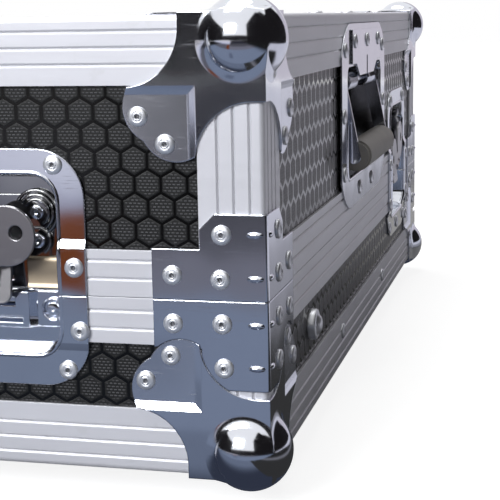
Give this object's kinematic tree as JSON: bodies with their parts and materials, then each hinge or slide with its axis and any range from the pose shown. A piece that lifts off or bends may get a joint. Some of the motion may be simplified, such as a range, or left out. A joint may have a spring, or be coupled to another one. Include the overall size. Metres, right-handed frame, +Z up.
{
  "type": "flight case",
  "caption": "Shallow flight case with a lift-off lid, metal edging, ball corners, recessed butterfly latches and sprung side handles, foam-lined for a controller.",
  "frame": {"origin": "on the ground under the middle of the case", "axes": "+X to the right along the front, +Y to the back, +Z up"},
  "size_m": [0.8864, 0.608, 0.2363],
  "materials": {
    "laminate_panel": "embossed honeycomb laminate",
    "anodised_edging": "satin anodised",
    "plated_steel": "bright zinc plate",
    "black_rubber": "matt",
    "dark_foam": "open-cell foam"
  },
  "bodies": {
    "base": {"base_floor_panel": "laminate_panel", "base_front_panel": "laminate_panel", "base_back_panel": "laminate_panel", "base_left_panel": "laminate_panel", "base_right_panel": "laminate_panel", "base_edge_trims": "anodised_edging", "base_corner_trims": "anodised_edging", "base_rim_trims": "anodised_edging", "base_corner_braces": "plated_steel", "base_foam": "dark_foam", "rubber_feet": "black_rubber", "base_fasteners": "plated_steel", "latch_keepers": "plated_steel", "base_ball_corner_front_left": "plated_steel", "base_ball_corner_front_right": "plated_steel", "base_ball_corner_back_left": "plated_steel", "base_ball_corner_back_right": "plated_steel", "latch_base_dish_front_left": "plated_steel", "latch_base_dish_front_right": "plated_steel", "latch_base_dish_left_side": "plated_steel", "latch_base_dish_right_side": "plated_steel"},
    "lid": {"lid_top_panel": "laminate_panel", "lid_front_panel": "laminate_panel", "lid_back_panel": "laminate_panel", "lid_left_panel": "laminate_panel", "lid_right_panel": "laminate_panel", "lid_edge_trims": "anodised_edging", "lid_corner_trims": "anodised_edging", "lid_rim_trims": "anodised_edging", "lid_corner_braces": "plated_steel", "lid_foam": "dark_foam", "handle_dishes": "plated_steel", "handle_hoods": "plated_steel", "latch_mechanism_plates": "plated_steel", "lid_ball_corner_front_left": "plated_steel", "lid_ball_corner_front_right": "plated_steel", "lid_ball_corner_back_left": "plated_steel", "lid_ball_corner_back_right": "plated_steel", "latch_lid_dish_front_left": "plated_steel", "latch_lid_dish_front_right": "plated_steel", "latch_lid_dish_left_side": "plated_steel", "latch_lid_dish_right_side": "plated_steel"},
    "hub_front_left": {"latch_hub_front_left": "plated_steel"},
    "wing_front_left": {"latch_wing_front_left": "plated_steel"},
    "hook_front_left": {"latch_hook_front_left": "plated_steel"},
    "hub_front_right": {"latch_hub_front_right": "plated_steel"},
    "wing_front_right": {"latch_wing_front_right": "plated_steel"},
    "hook_front_right": {"latch_hook_front_right": "plated_steel"},
    "hub_left_side": {"latch_hub_left_side": "plated_steel"},
    "wing_left_side": {"latch_wing_left_side": "plated_steel"},
    "hook_left_side": {"latch_hook_left_side": "plated_steel"},
    "hub_right_side": {"latch_hub_right_side": "plated_steel"},
    "wing_right_side": {"latch_wing_right_side": "plated_steel"},
    "hook_right_side": {"latch_hook_right_side": "plated_steel"},
    "handle_left": {"handle_bail_left": "plated_steel", "handle_grip_left": "black_rubber"},
    "handle_right": {"handle_bail_right": "plated_steel", "handle_grip_right": "black_rubber"}
  },
  "joints": [
    {"name": "lid_lift", "type": "slide", "parent": "base", "child": "lid", "axis": [0, 0, 1], "range_m": [0, 0.25]},
    {"name": "latch_turn_front_left", "type": "hinge", "parent": "lid", "child": "hub_front_left", "pos_m": [-0.2925, -0.295, 0.1088], "axis": [0, -1, 0], "range_deg": [0, 180]},
    {"name": "wing_fold_front_left", "type": "hinge", "parent": "hub_front_left", "child": "wing_front_left", "pos_m": [-0.2925, -0.295, 0.1088], "axis": [0.9511, 0, 0.309], "range_deg": [0, 90]},
    {"name": "hook_swing_front_left", "type": "hinge", "parent": "lid", "child": "hook_front_left", "pos_m": [-0.2925, -0.29, 0.12], "axis": [1, 0, 0], "range_deg": [0, 8]},
    {"name": "latch_turn_front_right", "type": "hinge", "parent": "lid", "child": "hub_front_right", "pos_m": [0.2925, -0.295, 0.1088], "axis": [0, -1, 0], "range_deg": [0, 180]},
    {"name": "wing_fold_front_right", "type": "hinge", "parent": "hub_front_right", "child": "wing_front_right", "pos_m": [0.2925, -0.295, 0.1088], "axis": [0.9511, 0, 0.309], "range_deg": [0, 90]},
    {"name": "hook_swing_front_right", "type": "hinge", "parent": "lid", "child": "hook_front_right", "pos_m": [0.2925, -0.29, 0.12], "axis": [1, 0, 0], "range_deg": [0, 8]},
    {"name": "latch_turn_left_side", "type": "hinge", "parent": "lid", "child": "hub_left_side", "pos_m": [-0.43, 0.177, 0.1088], "axis": [-1, 0, 0], "range_deg": [0, 180]},
    {"name": "wing_fold_left_side", "type": "hinge", "parent": "hub_left_side", "child": "wing_left_side", "pos_m": [-0.43, 0.177, 0.1088], "axis": [0, -0.9511, 0.309], "range_deg": [0, 90]},
    {"name": "hook_swing_left_side", "type": "hinge", "parent": "lid", "child": "hook_left_side", "pos_m": [-0.425, 0.177, 0.12], "axis": [0, -1, 0], "range_deg": [0, 8]},
    {"name": "latch_turn_right_side", "type": "hinge", "parent": "lid", "child": "hub_right_side", "pos_m": [0.43, 0.177, 0.1088], "axis": [1, 0, 0], "range_deg": [0, 180]},
    {"name": "wing_fold_right_side", "type": "hinge", "parent": "hub_right_side", "child": "wing_right_side", "pos_m": [0.43, 0.177, 0.1088], "axis": [0, 0.9511, 0.309], "range_deg": [0, 90]},
    {"name": "hook_swing_right_side", "type": "hinge", "parent": "lid", "child": "hook_right_side", "pos_m": [0.425, 0.177, 0.12], "axis": [0, 1, 0], "range_deg": [0, 8]},
    {"name": "handle_swing_left", "type": "hinge", "parent": "lid", "child": "handle_left", "pos_m": [-0.4245, 0, 0.1845], "axis": [0, 1, 0], "range_deg": [0, 90], "stiffness_Nm_per_rad": 0.25, "springref_deg": -34.38},
    {"name": "handle_swing_right", "type": "hinge", "parent": "lid", "child": "handle_right", "pos_m": [0.4245, 0, 0.1845], "axis": [0, -1, 0], "range_deg": [0, 90], "stiffness_Nm_per_rad": 0.25, "springref_deg": -34.38}
  ],
  "couplings": [
    {"joint": "hook_swing_front_left", "follows": "latch_turn_front_left", "ratio": 0.044444},
    {"joint": "hook_swing_front_right", "follows": "latch_turn_front_right", "ratio": 0.044444},
    {"joint": "hook_swing_left_side", "follows": "latch_turn_left_side", "ratio": 0.044444},
    {"joint": "hook_swing_right_side", "follows": "latch_turn_right_side", "ratio": 0.044444}
  ]
}
